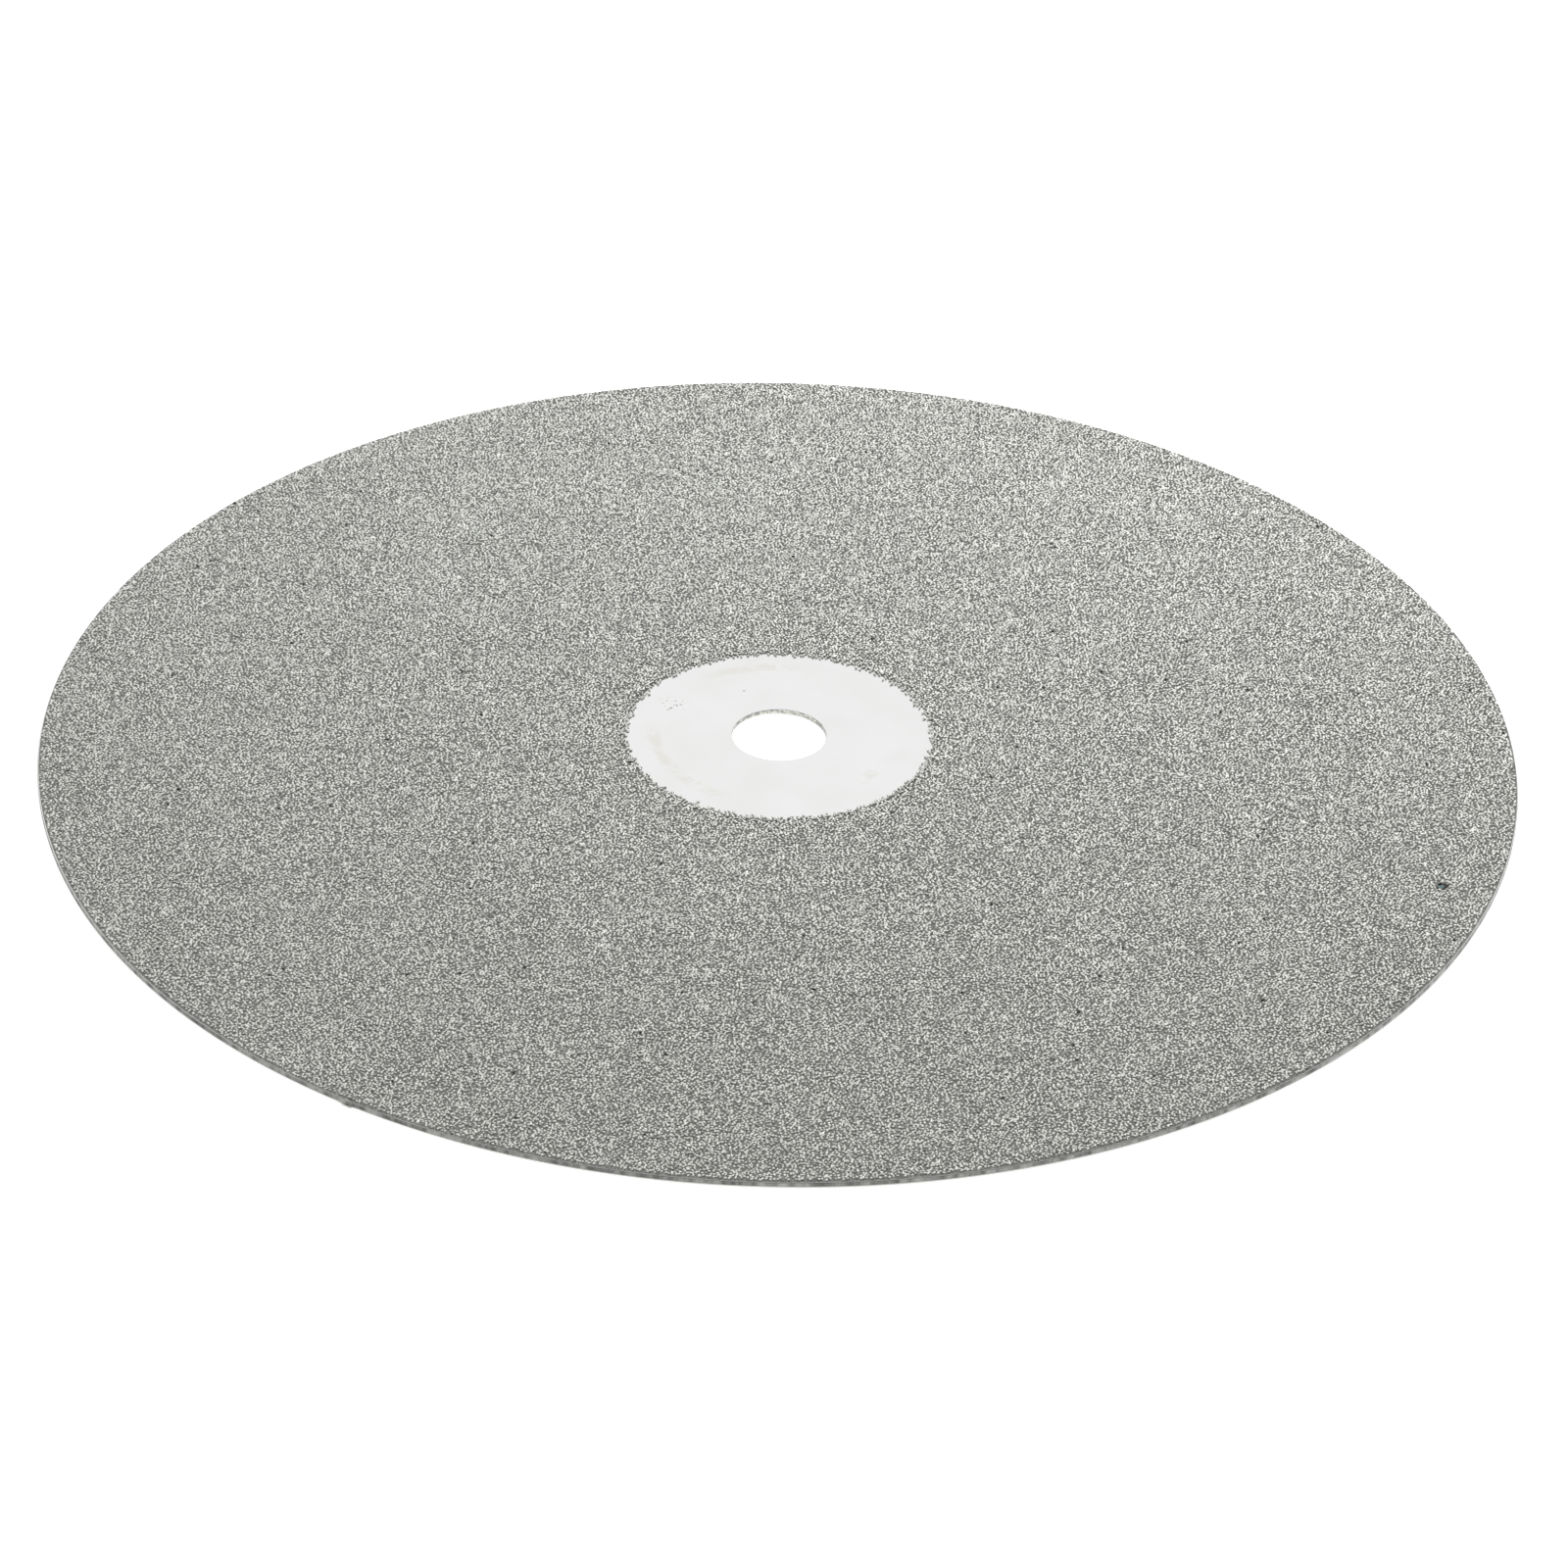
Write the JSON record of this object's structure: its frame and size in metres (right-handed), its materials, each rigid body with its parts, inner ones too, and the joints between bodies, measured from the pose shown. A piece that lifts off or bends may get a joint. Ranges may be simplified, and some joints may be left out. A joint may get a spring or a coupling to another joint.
{
  "type": "flat diamond lap disc",
  "caption": "Flat steel disc with one nickel-bonded layer of coarse diamond grit on its working face, round a bare hub ring and a half-inch arbor hole, for grinding stone flat",
  "frame": {"origin": "centre of the arbor hole on the disc's flat back face", "axes": "+Z is the axis of rotation and points out of the working face that carries the grit; X and Y lie in the back face, and the disc is the same whichever way they are turned"},
  "size_m": [0.2, 0.2, 0.0011],
  "materials": {
    "bare_steel": "smooth sheet steel, bright at the bare ring and at the rim",
    "dull_nickel": "dull grey electroplated nickel, matt where it rises between the crystals",
    "diamond": "coarse crushed crystals, grey and half clear, with glints from single faces"
  },
  "bodies": {
    "root": {"backing_disc": "bare_steel", "nickel_bond": "dull_nickel", "diamond_grit": "diamond"}
  },
  "joints": []
}
